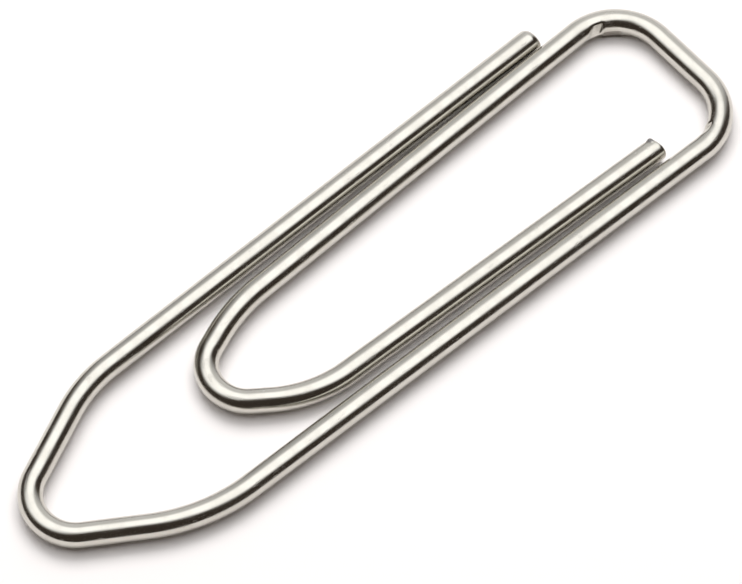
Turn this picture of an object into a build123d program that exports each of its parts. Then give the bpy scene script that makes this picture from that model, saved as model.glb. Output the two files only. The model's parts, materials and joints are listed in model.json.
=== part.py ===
from build123d import *
import os
from math import cos, radians, sin, tan

# Pointed paper clip: one round steel wire, bent flat into an outer frame and an inner tongue.
# The wire runs from the outer leg's cut end round the nose, up the long leg, across the head,
# down the tongue and back to the inner leg's cut end, and every bend turns the same way.
# X runs from the nose to the head, Z is up, and the wire lies on Z = 0. Millimetres and degrees.

os.makedirs("parts", exist_ok=True)

# Wire
wire_diameter = 0.95
cut_edge_radius = 0.10  # round that the shear leaves on the edge of a cut end

# Frame: the outer loop
overall_length = 32.00  # outside of the nose to outside of the head
head_width = 8.05  # outside of the long leg to outside of the tongue leg, at the head
head_right_radius = 1.73  # all bend radii are inside radii
head_left_radius = 1.78
nose_left_slope = 25.0  # from the X axis
nose_right_slope = 33.2
nose_tip_radius = 1.23
nose_tip_offset = 0.81  # centre of the tip's round, to the left of the head's middle
left_shoulder_radius = 5.20
right_shoulder_radius = 6.80

# Tongue: the inner loop
nose_opening = 7.34  # clear length from the nose to the tongue
tongue_left_slope = 21.9
tongue_right_slope = 36.5
tongue_tip_radius = 1.08
tongue_tip_offset = 0.77
tongue_left_shoulder_radius = 6.60
tongue_right_shoulder_radius = 4.575043

# Legs: each leans outwards as it goes towards the head
long_leg_lean = 1.00
tongue_leg_lean = 1.83
outer_leg_lean = 0.87
inner_leg_lean = 1.69
outer_end_setback = 4.14  # outside of the head to the cut end
inner_end_setback = 3.84
outer_end_gap = 0.06  # air beside the cut end, to the tongue leg
inner_end_gap = 0.18  # air beside the cut end, to the long leg

# The least of a side that stays straight between the bends at its two ends
straight_share = 0.12

wire_radius = wire_diameter / 2
head_half_width = head_width / 2 - wire_radius


def heading(angle):
    """Plan direction at an angle from +X."""
    return Vector(cos(radians(angle)), sin(radians(angle)))


def meeting(point_a, angle_a, point_b, angle_b):
    """Plan point where two centrelines meet."""
    along, other = heading(angle_a), heading(angle_b)
    gap = point_b - point_a
    crossed = along.X * other.Y - along.Y * other.X
    return point_a + along * ((gap.X * other.Y - gap.Y * other.X) / crossed)


def rounded_tip(tip_x, tip_y, radius, left_slope, right_slope):
    """Corner of a pointed end whose round reaches tip_x, with its centre on the line y = tip_y."""
    half_angle = radians(left_slope + right_slope) / 2
    towards_tip = heading(180 + (left_slope - right_slope) / 2)
    return Vector(tip_x + radius, tip_y) + towards_tip * (radius / sin(half_angle))


# Plan of the centreline, with the middle of the head bar at zero
head_right = Vector(0, -head_half_width)
head_left = Vector(0, head_half_width)
nose_x = wire_diameter - overall_length
tongue_x = nose_x + wire_diameter + nose_opening

nose = rounded_tip(
    nose_x, nose_tip_offset, nose_tip_radius + wire_radius, nose_left_slope, nose_right_slope
)
tongue = rounded_tip(
    tongue_x, tongue_tip_offset, tongue_tip_radius + wire_radius, tongue_left_slope, tongue_right_slope
)

outer_end_x = wire_radius - outer_end_setback
outer_spacing = (wire_diameter + outer_end_gap) / cos(radians(tongue_leg_lean))
outer_end_y = head_half_width + outer_end_x * tan(radians(tongue_leg_lean)) + outer_spacing
outer_end = Vector(outer_end_x, outer_end_y)

inner_end_x = wire_radius - inner_end_setback
inner_spacing = (wire_diameter + inner_end_gap) / cos(radians(long_leg_lean))
inner_end_y = -head_half_width - inner_end_x * tan(radians(long_leg_lean)) + inner_spacing
inner_end = Vector(inner_end_x, inner_end_y)

corners = [
    outer_end,
    meeting(outer_end, outer_leg_lean, nose, nose_left_slope),
    nose,
    meeting(nose, -nose_right_slope, head_right, -long_leg_lean),
    head_right,
    head_left,
    meeting(head_left, tongue_leg_lean, tongue, tongue_left_slope),
    tongue,
    meeting(tongue, -tongue_right_slope, inner_end, -inner_leg_lean),
    inner_end,
]

# Bends in the wire's order, with their inside radii
bends = {
    "left_shoulder_bend": left_shoulder_radius,
    "nose_tip_bend": nose_tip_radius,
    "right_shoulder_bend": right_shoulder_radius,
    "head_right_bend": head_right_radius,
    "head_left_bend": head_left_radius,
    "tongue_left_shoulder": tongue_left_shoulder_radius,
    "tongue_tip_bend": tongue_tip_radius,
    "tongue_right_shoulder": tongue_right_shoulder_radius,
}
bend_names = list(bends)

# Each bend's tangent at its full radius, and how far each side eases the two bends that share it
sides = [after - before for before, after in zip(corners, corners[1:])]
bend_turns = [coming.get_angle(going) for coming, going in zip(sides, sides[1:])]
half_turn_tans = [tan(radians(turn) / 2) for turn in bend_turns]
full_tangents = [
    (inside_radius + wire_radius) * half_turn_tan
    for inside_radius, half_turn_tan in zip(bends.values(), half_turn_tans)
]
side_eases = [
    min(1, (1 - straight_share) * side.length / (tangent_before + tangent_after))
    for side, tangent_before, tangent_after in zip(sides, [0] + full_tangents, full_tangents + [0])
]

# Straight runs start and stop where the bends' tangents end
run_starts = [corners[0]]
run_stops = []
bend_centres = []
for row, corner in enumerate(corners[1:-1]):
    coming, going = sides[row].normalized(), sides[row + 1].normalized()
    tangent = full_tangents[row] * min(side_eases[row], side_eases[row + 1])
    left_of_wire = Vector(-coming.Y, coming.X)
    run_stops.append(corner - coming * tangent)
    run_starts.append(corner + going * tangent)
    bend_centres.append(run_stops[-1] + left_of_wire * (tangent / half_turn_tans[row]))
run_stops.append(corners[-1])

# The part's origin is under the middle of its box, which the outer leg's end and the head's bend bound
low_bend = bend_names.index("head_right_bend")
low_y = bend_centres[low_bend].Y - (run_stops[low_bend] - bend_centres[low_bend]).length
wire_lift = Vector(overall_length / 2 - wire_radius, -(outer_end.Y + low_y) / 2, wire_radius)


def wire_section(point, direction):
    """Plane square to the wire at a point of its centreline."""
    return Plane(origin=point + wire_lift, x_dir=(0, 0, 1), z_dir=direction)


# Straight lengths of the wire
straight_names = [
    "outer_leg",
    "nose_left_side",
    "nose_right_side",
    "long_leg",
    "head_bar",
    "tongue_leg",
    "tongue_left_side",
    "tongue_right_side",
    "inner_leg",
]
cut_names = ["outer_leg", "inner_leg"]

wire_length = 0
for name, start, stop in zip(straight_names, run_starts, run_stops):
    run = stop - start
    with BuildPart() as straight:
        with BuildSketch(wire_section(start, run)):
            Circle(wire_radius)
        extrude(amount=run.length)
        if name in cut_names:
            cut_edge = straight.edges().filter_by(GeomType.CIRCLE).sort_by(Axis.X)[-1]
            fillet(cut_edge, radius=cut_edge_radius)
    straight.part.label = name
    export_step(straight.part, f"parts/{name}.step")
    wire_length += run.length

# Bends, each from the end of one straight length to the start of the next
for name, start, centre, turn in zip(bend_names, run_stops, bend_centres, bend_turns):
    spoke = start - centre
    with BuildPart() as bend:
        with BuildSketch(wire_section(start, Vector(-spoke.Y, spoke.X))):
            Circle(wire_radius)
        revolve(axis=Axis(centre + wire_lift, (0, 0, 1)), revolution_arc=turn)
    bend.part.label = name
    export_step(bend.part, f"parts/{name}.step")
    wire_length += spoke.length * radians(turn)

# Facts for whoever uses the part: the cut length of the wire, and the runs that twist
print(f"wire length {wire_length:.2f} mm")
for name in ("nose_left_side", "head_bar", "tongue_right_side"):
    row = straight_names.index(name)
    start, stop = run_starts[row] + wire_lift, run_stops[row] + wire_lift
    axis = (stop - start).normalized()
    print(f"{name}: from {start} to {stop}, axis {axis}")
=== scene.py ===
import json
from math import atan2, ceil, cos, hypot, pi, radians, sin, tan

import bpy
from mathutils import Matrix, Vector


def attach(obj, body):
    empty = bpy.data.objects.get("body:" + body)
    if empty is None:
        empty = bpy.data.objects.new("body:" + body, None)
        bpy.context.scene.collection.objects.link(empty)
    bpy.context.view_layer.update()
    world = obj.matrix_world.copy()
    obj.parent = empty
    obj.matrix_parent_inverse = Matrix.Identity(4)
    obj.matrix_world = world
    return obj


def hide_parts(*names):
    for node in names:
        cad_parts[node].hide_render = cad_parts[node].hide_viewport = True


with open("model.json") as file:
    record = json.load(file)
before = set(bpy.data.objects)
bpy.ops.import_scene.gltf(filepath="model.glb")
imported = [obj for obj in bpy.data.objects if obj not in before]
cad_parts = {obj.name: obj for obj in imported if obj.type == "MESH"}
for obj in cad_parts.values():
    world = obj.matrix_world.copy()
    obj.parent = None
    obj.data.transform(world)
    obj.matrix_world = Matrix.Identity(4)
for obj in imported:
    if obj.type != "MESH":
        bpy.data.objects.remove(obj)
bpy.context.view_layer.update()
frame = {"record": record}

# Pointed paper clip: one bright plated steel wire, bent flat, lying on white card.
# Sizes are the part's own, in metres and degrees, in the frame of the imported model.
mm = 0.001

# Wire
wire_diameter = 0.95 * mm
wire_radius = wire_diameter / 2

# Frame: the outer loop
overall_length = 32.00 * mm
head_width = 8.05 * mm
head_right_radius = 1.73 * mm
head_left_radius = 1.78 * mm
nose_left_slope = 25.0
nose_right_slope = 33.2
nose_tip_radius = 1.23 * mm
nose_tip_offset = 0.81 * mm
left_shoulder_radius = 5.20 * mm
right_shoulder_radius = 6.80 * mm

# Tongue: the inner loop
nose_opening = 7.34 * mm
tongue_left_slope = 21.9
tongue_right_slope = 36.5
tongue_tip_radius = 1.08 * mm
tongue_tip_offset = 0.77 * mm
tongue_left_shoulder_radius = 6.60 * mm
tongue_right_shoulder_radius = 4.575043 * mm

# Legs
long_leg_lean = 1.00
tongue_leg_lean = 1.83
outer_leg_lean = 0.87
inner_leg_lean = 1.69
outer_end_setback = 4.14 * mm
inner_end_setback = 3.84 * mm
outer_end_gap = 0.06 * mm
inner_end_gap = 0.18 * mm

# Cut ends: rolled over where the blade came in, torn and burred where it left
outer_roll_over = 0.26 * mm
outer_roll_over_drop = 0.20 * mm
outer_cut_slant = radians(3)
inner_roll_over = 0.17 * mm
inner_roll_over_drop = 0.12 * mm
inner_cut_slant = radians(15)
slant_room = 0.30 * mm
cut_land = 0.05 * mm
torn_ring = 0.09 * mm
torn_ring_count = 3
torn_depth = 0.012 * mm
burr_height = 0.07 * mm
burr_reach = 0.22 * mm

# Marks of the bending pin on the inside of the head's bends, as shares of a bend from the head bar; the
# pressed zone also gets the pin's rubbing and painted shade in the plating
pin_mark_start_share = 0.40
pin_mark_stop_share = 0.70
pin_mark_soft_share = 0.10
pin_mark_sharp_share = 0.015
squareness_above = 2.2
squareness_below = 3.6

# Nick beside each mark, where the pin's edge bit into the wire on a slant
nick_start_share = 0.735
nick_stop_share = 0.90
nick_soft_share = 0.06
nick_lean_share = 0.08
nick_slope = radians(26)
nick_depth_share = 0.165

# Fineness of the meshes
wire_sides = 64
bend_step = radians(0.75)
roll_over_steps = 8
smooth_up_to = radians(40)

# Camera, fitted to the photograph
picture_width = 742
focal_pixels = 4500
camera_plan_turn = 41.28
camera_side_turn = -90
camera_height_angle = 60.3
camera_distance = 167.64 * mm
camera_target = Vector((-0.246, -0.365, 0.46)) * mm
sensor_width = 36.0
nearest_seen = 1 * mm
farthest_seen = 10


def heading(angle):
    """Plan direction at an angle from +X."""
    return Vector((cos(radians(angle)), sin(radians(angle)), 0))


def left_of(direction):
    """Plan direction a quarter turn to the left."""
    return Vector((-direction.y, direction.x, 0))


def meeting(point_a, angle_a, point_b, angle_b):
    """Plan point where two centrelines meet."""
    along, other = heading(angle_a), heading(angle_b)
    gap = point_b - point_a
    crossed = along.x * other.y - along.y * other.x
    return point_a + along * ((gap.x * other.y - gap.y * other.x) / crossed)


def rounded_tip(tip_x, tip_y, radius, left_slope, right_slope):
    """Corner of a pointed end whose round reaches tip_x, with its centre on the line y = tip_y."""
    half_angle = radians(left_slope + right_slope) / 2
    towards_tip = heading(180 + (left_slope - right_slope) / 2)
    return Vector((tip_x + radius, tip_y, 0)) + towards_tip * (radius / sin(half_angle))


# Plan of the centreline, with the middle of the head bar at zero
head_half_width = head_width / 2 - wire_radius
head_right = Vector((0, -head_half_width, 0))
head_left = Vector((0, head_half_width, 0))
nose_x = wire_diameter - overall_length
tongue_x = nose_x + wire_diameter + nose_opening
nose = rounded_tip(
    nose_x, nose_tip_offset, nose_tip_radius + wire_radius, nose_left_slope, nose_right_slope
)
tongue = rounded_tip(
    tongue_x, tongue_tip_offset, tongue_tip_radius + wire_radius, tongue_left_slope, tongue_right_slope
)
outer_end_x = wire_radius - outer_end_setback
outer_spacing = (wire_diameter + outer_end_gap) / cos(radians(tongue_leg_lean))
outer_end_y = head_half_width + outer_end_x * tan(radians(tongue_leg_lean)) + outer_spacing
outer_end = Vector((outer_end_x, outer_end_y, 0))
inner_end_x = wire_radius - inner_end_setback
inner_spacing = (wire_diameter + inner_end_gap) / cos(radians(long_leg_lean))
inner_end_y = -head_half_width - inner_end_x * tan(radians(long_leg_lean)) + inner_spacing
inner_end = Vector((inner_end_x, inner_end_y, 0))

corners = [
    outer_end,
    meeting(outer_end, outer_leg_lean, nose, nose_left_slope),
    nose,
    meeting(nose, -nose_right_slope, head_right, -long_leg_lean),
    head_right,
    head_left,
    meeting(head_left, tongue_leg_lean, tongue, tongue_left_slope),
    tongue,
    meeting(tongue, -tongue_right_slope, inner_end, -inner_leg_lean),
    inner_end,
]
straight_names = [
    "outer_leg",
    "nose_left_side",
    "nose_right_side",
    "long_leg",
    "head_bar",
    "tongue_leg",
    "tongue_left_side",
    "tongue_right_side",
    "inner_leg",
]
inside_radii = {
    "left_shoulder_bend": left_shoulder_radius,
    "nose_tip_bend": nose_tip_radius,
    "right_shoulder_bend": right_shoulder_radius,
    "head_right_bend": head_right_radius,
    "head_left_bend": head_left_radius,
    "tongue_left_shoulder": tongue_left_shoulder_radius,
    "tongue_tip_bend": tongue_tip_radius,
    "tongue_right_shoulder": tongue_right_shoulder_radius,
}

# Straight runs start and stop where the bends' tangents end
run_starts = [corners[0]]
run_stops = []
bend_centres = []
bend_turns = []
bend_radii = [inside_radius + wire_radius for inside_radius in inside_radii.values()]
for before, corner, after, bend_radius in zip(corners, corners[1:], corners[2:], bend_radii):
    coming, going = (corner - before).normalized(), (after - corner).normalized()
    turn = coming.angle(going)
    tangent = bend_radius * tan(turn / 2)
    run_stops.append(corner - coming * tangent)
    run_starts.append(corner + going * tangent)
    bend_centres.append(run_stops[-1] + left_of(coming) * bend_radius)
    bend_turns.append(turn)
run_stops.append(corners[-1])

# Length of wire before each run and each bend
run_alongs = [0]
bend_alongs = []
for start, stop, turn, bend_radius in zip(run_starts, run_stops, bend_turns, bend_radii):
    bend_alongs.append(run_alongs[-1] + (stop - start).length)
    run_alongs.append(bend_alongs[-1] + turn * bend_radius)

# The part's origin is under the middle of its box
low_bend = list(inside_radii).index("head_right_bend")
low_y = bend_centres[low_bend].y - bend_radii[low_bend]
wire_lift = Vector((overall_length / 2 - wire_radius, -(outer_end.y + low_y) / 2, wire_radius))
run_starts = [point + wire_lift for point in run_starts]
run_stops = [point + wire_lift for point in run_stops]
bend_centres = [point + wire_lift for point in bend_centres]


def feed(tree, socket, value):
    """Links a node's output to a socket, or sets the socket to a plain value."""
    if isinstance(value, bpy.types.NodeSocket):
        tree.links.new(value, socket)
    else:
        socket.default_value = value


def add_node(tree, kind, inputs, **settings):
    """A node with its settings and inputs."""
    node = tree.nodes.new(kind)
    for setting, value in settings.items():
        setattr(node, setting, value)
    for socket, value in inputs.items():
        feed(tree, node.inputs[socket], value)
    return node


def sum_of(tree, first, factor, second):
    """The first value times a factor, plus the second."""
    node = add_node(tree, "ShaderNodeMath", {0: first, 1: factor, 2: second}, operation="MULTIPLY_ADD")
    return node.outputs["Value"]


def spread(tree, value, low, high, new_low, new_high):
    """A value brought smoothly from one range to another."""
    ends = {"From Min": low, "From Max": high, "To Min": new_low, "To Max": new_high}
    node = add_node(
        tree, "ShaderNodeMapRange", {"Value": value, **ends}, interpolation_type="SMOOTHSTEP"
    )
    return node.outputs["Result"]


def mixed_colour(tree, share, colour_a, colour_b):
    """Colour between two colours."""
    node = add_node(tree, "ShaderNodeMix", {0: share, 6: colour_a, 7: colour_b}, data_type="RGBA")
    return node.outputs[2]


def new_effect(name, inputs, output):
    """A node group with named inputs and one value as its output, and its input node."""
    effect = bpy.data.node_groups.new(name, "ShaderNodeTree")
    for label, kind in inputs.items():
        effect.interface.new_socket(label, in_out="INPUT", socket_type=kind)
    effect.interface.new_socket(output, in_out="OUTPUT", socket_type="NodeSocketFloat")
    return effect, effect.nodes.new("NodeGroupInput").outputs


# Patterns in the metal: fineness, slant, stretch, and the noise values between which they come in
streak_detail = 4
cloud_detail = 5
cloud_edge_shares = (0.34, 0.66)
scuff_detail = 2
scuff_slant = (radians(35), radians(20), 0)
scuff_stretch = (1.5, 16, 1.5)
scuff_edge_shares = (0.64, 0.72)

# Effects that the finishes share, read from a point's place on the wire in wire diameters
streaks, given = new_effect(
    "drawn_streaks", {"Wire Place": "NodeSocketVector", "Streaks": "NodeSocketVector"}, "Streak"
)
stretched = add_node(
    streaks, "ShaderNodeVectorMath", {0: given["Wire Place"], 1: given["Streaks"]}, operation="MULTIPLY"
)
streak_noise = add_node(
    streaks,
    "ShaderNodeTexNoise",
    {"Vector": stretched.outputs["Vector"], "Scale": 1, "Detail": streak_detail},
)
add_node(streaks, "NodeGroupOutput", {"Streak": streak_noise.outputs["Fac"]})

clouds, given = new_effect(
    "plating_clouds", {"Wire Place": "NodeSocketVector", "Clouds": "NodeSocketFloat"}, "Cloud"
)
cloud_noise = add_node(
    clouds,
    "ShaderNodeTexNoise",
    {"Vector": given["Wire Place"], "Scale": given["Clouds"], "Detail": cloud_detail},
)
cloud_share = spread(clouds, cloud_noise.outputs["Fac"], *cloud_edge_shares, 0, 1)
add_node(clouds, "NodeGroupOutput", {"Cloud": cloud_share})

scuffs, given = new_effect(
    "handling_scuffs", {"Wire Place": "NodeSocketVector", "Scuffs": "NodeSocketFloat"}, "Scuff"
)
slanted = add_node(
    scuffs,
    "ShaderNodeMapping",
    {"Vector": given["Wire Place"], "Rotation": scuff_slant, "Scale": scuff_stretch},
)
scuff_noise = add_node(
    scuffs,
    "ShaderNodeTexNoise",
    {"Vector": slanted.outputs["Vector"], "Scale": given["Scuffs"], "Detail": scuff_detail},
)
scuff_share = spread(scuffs, scuff_noise.outputs["Fac"], *scuff_edge_shares, 0, 1)
add_node(scuffs, "NodeGroupOutput", {"Scuff": scuff_share})


def metal(name):
    """A new metal, its node tree, its shader and the node that reads the place on the wire."""
    finish = bpy.data.materials.new(name)
    finish.use_nodes = True
    tree = finish.node_tree
    shader = tree.nodes["Principled BSDF"]
    shader.inputs["Metallic"].default_value = 1
    place = add_node(tree, "ShaderNodeAttribute", {}, attribute_name="wire_place").outputs["Vector"]
    return finish, tree, shader, place


def placed_effect(tree, effect, place, setting):
    """Output of a shared effect placed in a finish, with the finish's own setting."""
    node = add_node(tree, "ShaderNodeGroup", {}, node_tree=effect)
    feed(tree, node.inputs[0], place)
    feed(tree, node.inputs[1], setting)
    return node.outputs[0]


def point_value(tree, name):
    """Value kept on the mesh points under a name."""
    return add_node(tree, "ShaderNodeAttribute", {}, attribute_name=name).outputs["Fac"]


def bright_plated_wire():
    """Bright nickel on drawn wire, with die lines, clouds and light scuffs, and a darker, duller patch low
    on the inside of the head bends: partly the pin's rubbing and partly painted shade.
    """
    light_nickel = (0.62, 0.60, 0.55, 1)
    dark_nickel = (0.59, 0.57, 0.52, 1)
    # Darker nickel low on the inside of the head bends: the pin's rubbing, and painted shade of that inside
    # corner
    rubbed_and_shaded_nickel = (0.30, 0.27, 0.24, 1)
    die_lines = (34, 34, 0.4)
    cloud_fineness = 1.6
    scuff_fineness = 1.0
    rub_and_shade_edge_shares = (0.16, 0.34)
    dark_roughness = 0.22
    light_roughness = 0.16
    scuff_roughness = 0.12
    rub_roughness = 0.20
    scuff_height_share = -0.6
    bump_height = 0.0012 * mm
    finish, tree, shader, place = metal("bright_plated_wire")
    lines = placed_effect(tree, streaks, place, die_lines)
    cloud = placed_effect(tree, clouds, place, cloud_fineness)
    scuff = placed_effect(tree, scuffs, place, scuff_fineness)
    # Mask of the pin's rubbing and painted shade, strongest low on the inside of the head bends; it darkens
    # the base colour and raises the roughness
    mark = point_value(tree, "pin_rub_and_shade")
    rub_and_shade = add_node(tree, "ShaderNodeMath", {0: mark, 1: lines}, operation="MULTIPLY").outputs["Value"]
    rub_and_shade = spread(tree, rub_and_shade, *rub_and_shade_edge_shares, 0, 1)
    tone = mixed_colour(tree, cloud, dark_nickel, light_nickel)
    feed(tree, shader.inputs["Base Color"], mixed_colour(tree, rub_and_shade, tone, rubbed_and_shaded_nickel))
    rough = spread(tree, cloud, 0, 1, dark_roughness, light_roughness)
    rough = sum_of(tree, scuff, scuff_roughness, rough)
    feed(tree, shader.inputs["Roughness"], sum_of(tree, rub_and_shade, rub_roughness, rough))
    height = sum_of(tree, scuff, scuff_height_share, lines)
    bump = add_node(tree, "ShaderNodeBump", {"Height": height, "Distance": bump_height, "Strength": 1})
    feed(tree, shader.inputs["Normal"], bump.outputs["Normal"])
    return finish


def sheared_steel():
    """Bare steel of a cut end: burnished by the blade on one side and torn on the other."""
    burnished = (0.55, 0.53, 0.50, 1)
    torn = (0.36, 0.35, 0.34, 1)
    blade_lines = (30, 5, 5)
    torn_grain = 24
    scuff_fineness = 2.0
    grain_share = 0.16
    torn_edge_shares = (0.50, 0.62)
    burnished_roughness = 0.26
    torn_roughness = 0.52
    scuff_roughness = 0.10
    bump_height = 0.006 * mm
    finish, tree, shader, place = metal("sheared_steel")
    lines = placed_effect(tree, streaks, place, blade_lines)
    grain = placed_effect(tree, clouds, place, torn_grain)
    scuff = placed_effect(tree, scuffs, place, scuff_fineness)
    tear = sum_of(tree, grain, grain_share, point_value(tree, "torn_share"))
    tear = spread(tree, tear, *torn_edge_shares, 0, 1)
    feed(tree, shader.inputs["Base Color"], mixed_colour(tree, tear, burnished, torn))
    rough = spread(tree, tear, 0, 1, burnished_roughness, torn_roughness)
    feed(tree, shader.inputs["Roughness"], sum_of(tree, scuff, scuff_roughness, rough))
    rugged = add_node(tree, "ShaderNodeMix", {0: tear, 2: lines, 3: grain}).outputs[0]
    bump = add_node(tree, "ShaderNodeBump", {"Height": rugged, "Distance": bump_height, "Strength": 1})
    feed(tree, shader.inputs["Normal"], bump.outputs["Normal"])
    return finish


plated_finish = bright_plated_wire()
cut_finish = sheared_steel()


def wire_disc(name, place, direction):
    """A filled circle of the wire's size, square to the wire, left in edit mode with all of it selected."""
    bpy.ops.object.select_all(action="DESELECT")
    bpy.ops.mesh.primitive_circle_add(
        vertices=wire_sides,
        radius=wire_radius,
        fill_type="NGON",
        location=place,
        rotation=(0, pi / 2, atan2(direction.y, direction.x)),
    )
    piece = bpy.context.object
    piece.name = name
    piece.data.name = name
    piece.data.materials.append(plated_finish)
    bpy.ops.object.transform_apply(location=True, rotation=True, scale=True)
    bpy.ops.object.mode_set(mode="EDIT")
    bpy.ops.mesh.select_mode(type="FACE")
    bpy.ops.mesh.select_all(action="SELECT")
    return piece


def draw_out(step):
    """Extrudes the selected end of the wire."""
    bpy.ops.mesh.extrude_region_move(TRANSFORM_OT_translate={"value": step})


def finish_wire():
    """Turns all faces outwards and leaves edit mode, with the wire's side smooth and its rims sharp."""
    bpy.ops.mesh.select_all(action="SELECT")
    bpy.ops.mesh.normals_make_consistent(inside=False)
    bpy.ops.object.mode_set(mode="OBJECT")
    bpy.ops.object.shade_smooth_by_angle(angle=smooth_up_to)


def straight_length(name, start, stop):
    """Drawn wire from one point to another."""
    piece = wire_disc(name, start, stop - start)
    draw_out(stop - start)
    finish_wire()
    return piece


def bent_length(name, start, centre, turn):
    """Wire bent to the left about a centre."""
    piece = wire_disc(name, start, left_of(start - centre))
    bpy.ops.mesh.spin(steps=ceil(turn / bend_step), angle=-turn, center=centre, axis=(0, 0, 1))
    finish_wire()
    return piece


def select_points(piece, middle, reach):
    """Selects the points within reach of a place, in edit mode."""
    bpy.ops.mesh.select_mode(type="VERT")
    bpy.ops.mesh.select_all(action="DESELECT")
    bpy.ops.object.mode_set(mode="OBJECT")
    for point in piece.data.vertices:
        point.select = (point.co - middle).length < reach
    bpy.ops.object.mode_set(mode="EDIT")


def sheared_length(name, start, stop, burr_side, roll_over, roll_over_drop, slant):
    """Drawn wire that ends in a shear cut, set back on its left by a slant, with its burr on one side."""
    run = stop - start
    along = run.normalized()
    left = left_of(along)
    piece = wire_disc(name, start, run)
    piece.data.materials.append(cut_finish)
    draw_out(along * (run.length - roll_over - slant_room))
    draw_out(along * slant_room)
    heel = start + along * (run.length - roll_over) - left * wire_radius
    bpy.ops.transform.rotate(value=-slant, orient_axis="Z", center_override=heel)
    burr_foot = heel + Matrix.Rotation(slant, 3, "Z") @ ((left + burr_side) * wire_radius)
    last_reach, last_size = 0, 1
    for step in range(1, roll_over_steps + 1):
        angle = pi / 2 * step / roll_over_steps
        reach = roll_over * sin(angle)
        size = 1 - roll_over_drop / wire_diameter * (1 - cos(angle))
        draw_out(along * (reach - last_reach))
        burr_foot = burr_foot + along * (reach - last_reach)
        bpy.ops.transform.resize(value=(size / last_size,) * 3, center_override=burr_foot)
        last_reach, last_size = reach, size

    # The cut face, dished where the metal tore
    piece.active_material_index = 1
    bpy.ops.object.material_slot_assign()
    bpy.ops.mesh.inset(thickness=cut_land)
    for ring in range(torn_ring_count):
        bpy.ops.mesh.inset(thickness=torn_ring)
        bpy.ops.transform.translate(value=(burr_side - along) * torn_depth)

    # The burr, bare steel pulled out of the rim
    select_points(piece, burr_foot, burr_reach)
    bpy.ops.mesh.select_mode(type="FACE")
    bpy.ops.object.material_slot_assign()
    select_points(piece, burr_foot, cut_land)
    bpy.ops.transform.translate(
        value=burr_side * burr_height,
        use_proportional_edit=True,
        proportional_edit_falloff="SMOOTH",
        proportional_size=burr_reach,
    )
    finish_wire()

    torn_share = piece.data.attributes.new("torn_share", "FLOAT", "POINT")
    for point, entry in zip(piece.data.vertices, torn_share.data):
        entry.value = 0.5 + (point.co - stop).dot(burr_side) / wire_diameter
    return piece


def smooth_rise(value, middle, half_width):
    """0 well below the middle, 1 well above it, and a smooth rise between."""
    share = min(max((value - middle) / (2 * half_width) + 0.5, 0), 1)
    return share * share * (3 - 2 * share)


def press_with_pin(piece, place_of, centre, share_of):
    """Squares the inside of a head bend where the pin pressed it, and nicks it beside that; also keeps a
    mask of the pressed zone, strongest low on the inside, that darkens and roughens the plating there as
    pin rubbing and painted shade.
    """
    pin_rub_and_shade = piece.data.attributes.new("pin_rub_and_shade", "FLOAT", "POINT")
    for point, entry in zip(piece.data.vertices, pin_rub_and_shade.data):
        inside, up, along = place_of(point.co)
        if inside <= 0:
            continue
        share = share_of(along)
        press = smooth_rise(share, pin_mark_start_share, pin_mark_soft_share)
        press -= smooth_rise(share, pin_mark_stop_share, pin_mark_sharp_share)
        leaning_share = share + nick_lean_share * up / wire_radius
        nick = smooth_rise(leaning_share, nick_start_share, pin_mark_sharp_share)
        nick -= smooth_rise(leaning_share, nick_stop_share, nick_soft_share)
        power = squareness_above if up > 0 else squareness_below
        square = (inside / wire_radius) ** power + abs(up / wire_radius) ** power
        swell = 1 + press * (square ** (-1 / power) - 1)
        proud = inside * cos(nick_slope) + up * sin(nick_slope) - wire_radius * (1 - nick_depth_share)
        cut_back = nick * max(proud, 0)
        outwards = ((point.co - centre) * Vector((1, 1, 0))).normalized()
        point.co += outwards * (inside * (1 - swell) + cut_back * cos(nick_slope))
        point.co.z += up * (swell - 1) - cut_back * sin(nick_slope)
        # Mask for the plating: the pressed zone, weighted towards the low inside, where the pin's rubbing
        # and painted shade go
        entry.value = press * max(inside - up, 0) / wire_diameter


def place_on_run(start, direction, along_start):
    """Function that gives a point's place on a straight run: to the left, up and along the wire."""

    def place_of(point):
        offset = point - start
        return Vector((offset.dot(left_of(direction)), offset.z, along_start + offset.dot(direction)))

    return place_of


def place_on_bend(start, centre, bend_radius, along_start):
    """Function that gives a point's place on a bend: to the left, up and along the wire."""
    first = start - centre

    def place_of(point):
        spoke = point - centre
        ahead = atan2(first.x * spoke.y - first.y * spoke.x, first.x * spoke.x + first.y * spoke.y)
        return Vector((bend_radius - hypot(spoke.x, spoke.y), spoke.z, along_start + ahead * bend_radius))

    return place_of


def mark_wire_place(piece, place_of):
    """Keeps each point's place on the wire, in wire diameters, for the finishes to follow."""
    wire_place = piece.data.attributes.new("wire_place", "FLOAT_VECTOR", "POINT")
    for point, entry in zip(piece.data.vertices, wire_place.data):
        entry.vector = place_of(point.co) / wire_diameter


low_and_near = Vector((0, -1, -1)).normalized()
wire_pieces = {}
for node, start, stop, along in zip(straight_names, run_starts, run_stops, run_alongs):
    if node == "outer_leg":
        cut = (low_and_near, outer_roll_over, outer_roll_over_drop, outer_cut_slant)
        piece = sheared_length("wire_" + node, stop, start, *cut)
    elif node == "inner_leg":
        cut = (-low_and_near, inner_roll_over, inner_roll_over_drop, inner_cut_slant)
        piece = sheared_length("wire_" + node, start, stop, *cut)
    else:
        piece = straight_length("wire_" + node, start, stop)
    mark_wire_place(piece, place_on_run(start, (stop - start).normalized(), along))
    wire_pieces[node] = piece

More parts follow.
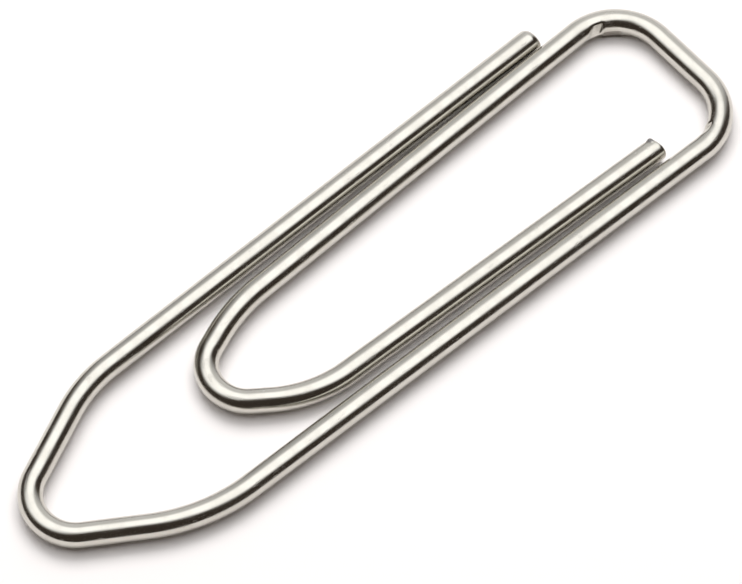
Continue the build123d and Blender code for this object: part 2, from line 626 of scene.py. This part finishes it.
bends = zip(inside_radii, run_stops, bend_centres, bend_turns, bend_radii, bend_alongs)
for node, start, centre, turn, bend_radius, along in bends:
    piece = bent_length("wire_" + node, start, centre, turn)
    place_of = place_on_bend(start, centre, bend_radius, along)
    bend_length = turn * bend_radius
    if node == "head_right_bend":
        press_with_pin(piece, place_of, centre, lambda at: 1 - (at - along) / bend_length)
    elif node == "head_left_bend":
        press_with_pin(piece, place_of, centre, lambda at: (at - along) / bend_length)
    mark_wire_place(piece, place_of)
    wire_pieces[node] = piece

body_of_node = {
    node: body for body, nodes in frame["record"]["behaviour"]["bodies"].items() for node in nodes
}
for node, piece in wire_pieces.items():
    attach(piece, body_of_node[node])
    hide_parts(node)

# Studio: white card, a light tent that the metal mirrors, and a soft key light
tent_radius = 0.5
tent_segments = 64
tent_rings = 32
floor_size = 4.0
card_white = (0.99, 0.955, 0.945, 1)
key_distance = 0.42
key_width = 0.36
key_depth = 0.20
key_power = 1.08
key_plan_turn = 90
key_height_angle = 54

# Glows of the tent: plan turn from the right of the picture, height, narrowness, and edge angles
overhead_glow = {
    "plan_turn": 50.5,
    "height_angle": 73.3,
    "across": 1.38,
    "upward": 2.30,
    "full_angle": 30.9,
    "end_angle": 54.5,
}
back_glow = {
    "plan_turn": 80.4,
    "height_angle": 16.6,
    "across": 0.91,
    "upward": 0.28,
    "full_angle": 6.5,
    "end_angle": 45.6,
}
left_glow = {
    "plan_turn": 167.4,
    "height_angle": 63.8,
    "across": 2.52,
    "upward": 2.26,
    "full_angle": 15.4,
    "end_angle": 62.9,
}
overhead_level = 1.69
back_level = 0.79
left_level = 1.57
dim_level = 0.036
dim_tint = (1.28, 1.00, 0.80, 1)
glow_tint = (1.00, 1.00, 1.00, 1)
glow_tint_level = 0.30

white_card = bpy.data.materials.new("white_card")
white_card.use_nodes = True
card_shader = white_card.node_tree.nodes["Principled BSDF"]
card_shader.inputs["Base Color"].default_value = card_white
card_shader.inputs["Roughness"].default_value = 1
card_shader.inputs["Specular IOR Level"].default_value = 0

bpy.ops.object.select_all(action="DESELECT")
bpy.ops.mesh.primitive_plane_add(size=floor_size)
floor = bpy.context.object
floor.name = "white_card_floor"
floor.data.materials.append(white_card)


def studio_direction(plan_turn, height_angle):
    """Direction from the object, with plan_turn counted from the right of the picture."""
    flat = heading(plan_turn - camera_plan_turn) * cos(radians(height_angle))
    return flat + Vector((0, 0, sin(radians(height_angle))))


tent_cloth = bpy.data.materials.new("tent_cloth")
tent_cloth.use_nodes = True
tent_tree = tent_cloth.node_tree
tent_tree.nodes.clear()
tent_place = add_node(tent_tree, "ShaderNodeTexCoord", {}).outputs["Object"]


def tent_glow(plan_turn, height_angle, across, upward, full_angle, end_angle):
    """A soft patch of light on the tent: 1 at its middle and 0 past its edge."""
    axis = studio_direction(plan_turn, height_angle)
    side = heading(plan_turn - camera_plan_turn + 90)
    turned = Matrix((side, axis.cross(side), axis)).transposed().to_euler()
    patch = add_node(
        tent_tree,
        "ShaderNodeMapping",
        {"Vector": tent_place, "Rotation": turned, "Scale": (1 / across, 1 / upward, 1)},
        vector_type="TEXTURE",
    )
    unit = add_node(tent_tree, "ShaderNodeVectorMath", {0: patch.outputs["Vector"]}, operation="NORMALIZE")
    parts = add_node(tent_tree, "ShaderNodeSeparateXYZ", {"Vector": unit.outputs["Vector"]})
    return spread(tent_tree, parts.outputs["Z"], cos(radians(end_angle)), cos(radians(full_angle)), 0, 1)


walls = sum_of(tent_tree, tent_glow(**back_glow), back_level, dim_level)
walls = sum_of(tent_tree, tent_glow(**left_glow), left_level, walls)
overhead = tent_glow(**overhead_glow)
tent_mix = add_node(tent_tree, "ShaderNodeMix", {0: overhead, 2: walls, 3: overhead_level})
tent_level = tent_mix.outputs[0]
glow_share = spread(tent_tree, tent_level, dim_level, glow_tint_level, 0, 1)
tent_colour = mixed_colour(tent_tree, glow_share, dim_tint, glow_tint)
tent_light = add_node(tent_tree, "ShaderNodeEmission", {"Color": tent_colour, "Strength": tent_level})
add_node(tent_tree, "ShaderNodeOutputMaterial", {"Surface": tent_light.outputs["Emission"]})

bpy.ops.object.select_all(action="DESELECT")
bpy.ops.mesh.primitive_uv_sphere_add(segments=tent_segments, ring_count=tent_rings, radius=tent_radius)
tent = bpy.context.object
tent.name = "light_tent"
bpy.ops.object.mode_set(mode="EDIT")
bpy.ops.mesh.select_all(action="SELECT")
bpy.ops.mesh.bisect(plane_co=(0, 0, 0), plane_no=(0, 0, 1), clear_inner=True)
bpy.ops.object.mode_set(mode="OBJECT")
tent.data.materials.append(tent_cloth)
tent.visible_camera = False

world = bpy.data.worlds.new("white_room")
bpy.context.scene.world = world
world.use_nodes = True
background = world.node_tree.nodes["Background"]
background.inputs["Color"].default_value = (1, 1, 1, 1)
background.inputs["Strength"].default_value = 1.0

key_place = studio_direction(key_plan_turn, key_height_angle) * key_distance
bpy.ops.object.light_add(type="AREA", location=key_place)
key = bpy.context.object
key.name = "soft_key_light"
key.data.shape = "RECTANGLE"
key.data.size = key_width
key.data.size_y = key_depth
key.data.energy = key_power
key.rotation_mode = "QUATERNION"
key.rotation_quaternion = (-key_place).to_track_quat("-Z", "Y")
key.visible_glossy = False
key.visible_camera = False

# Camera
towards_camera = studio_direction(camera_side_turn, camera_height_angle)
bpy.ops.object.camera_add(location=camera_target + towards_camera * camera_distance)
camera = bpy.context.object
camera.name = "photo_camera"
camera.rotation_mode = "QUATERNION"
camera.rotation_quaternion = (-towards_camera).to_track_quat("-Z", "Y")
camera.data.sensor_fit = "HORIZONTAL"
camera.data.sensor_width = sensor_width
camera.data.lens = focal_pixels * sensor_width / picture_width
camera.data.clip_start = nearest_seen
camera.data.clip_end = farthest_seen
bpy.context.scene.camera = camera
bpy.context.scene.view_settings.view_transform = "Standard"
